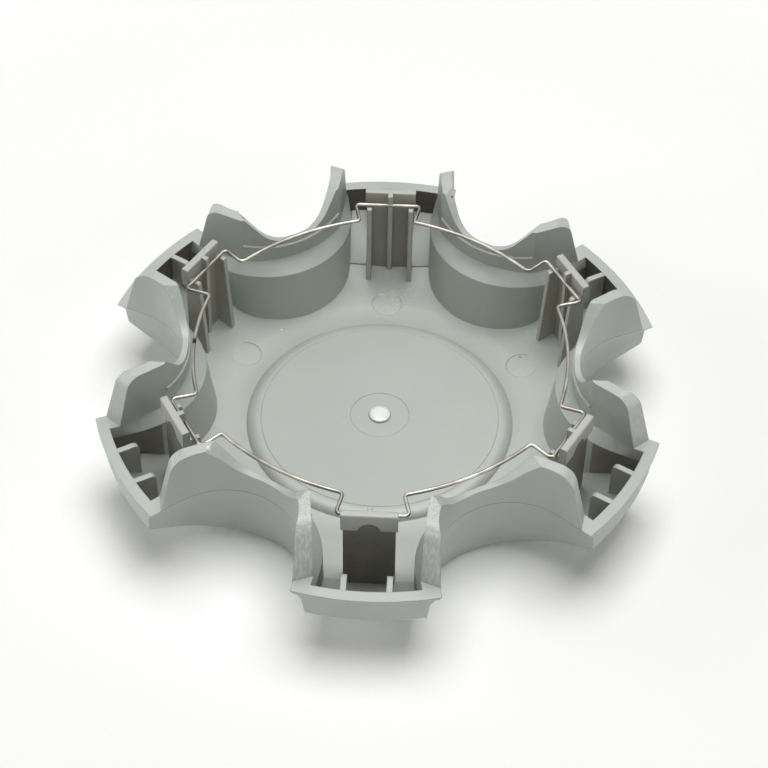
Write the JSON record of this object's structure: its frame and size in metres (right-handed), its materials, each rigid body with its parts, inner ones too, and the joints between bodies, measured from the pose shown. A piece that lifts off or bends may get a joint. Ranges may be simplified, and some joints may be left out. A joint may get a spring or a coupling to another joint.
{
  "type": "wheel centre cap",
  "caption": "Lobed plastic wheel centre cap with lug slots, upright fins, ribbed retainer plates and a bent spring-wire clip ring, seen from its fitting side.",
  "frame": {"origin": "on the wheel's axis, in the plane of the flat ring of the painted face", "axes": "+Z along the wheel's axis from the painted face towards the wheel, +Y along the middle of a lobe"},
  "size_m": [0.1556, 0.1618, 0.0393],
  "materials": {
    "painted_plastic": "injection moulded ABS with a thin silver-grey paint",
    "spring_wire": "drawn spring steel wire, dull bright"
  },
  "bodies": {
    "root": {"cap_moulding": "painted_plastic", "retaining_wire": "spring_wire"}
  },
  "joints": []
}
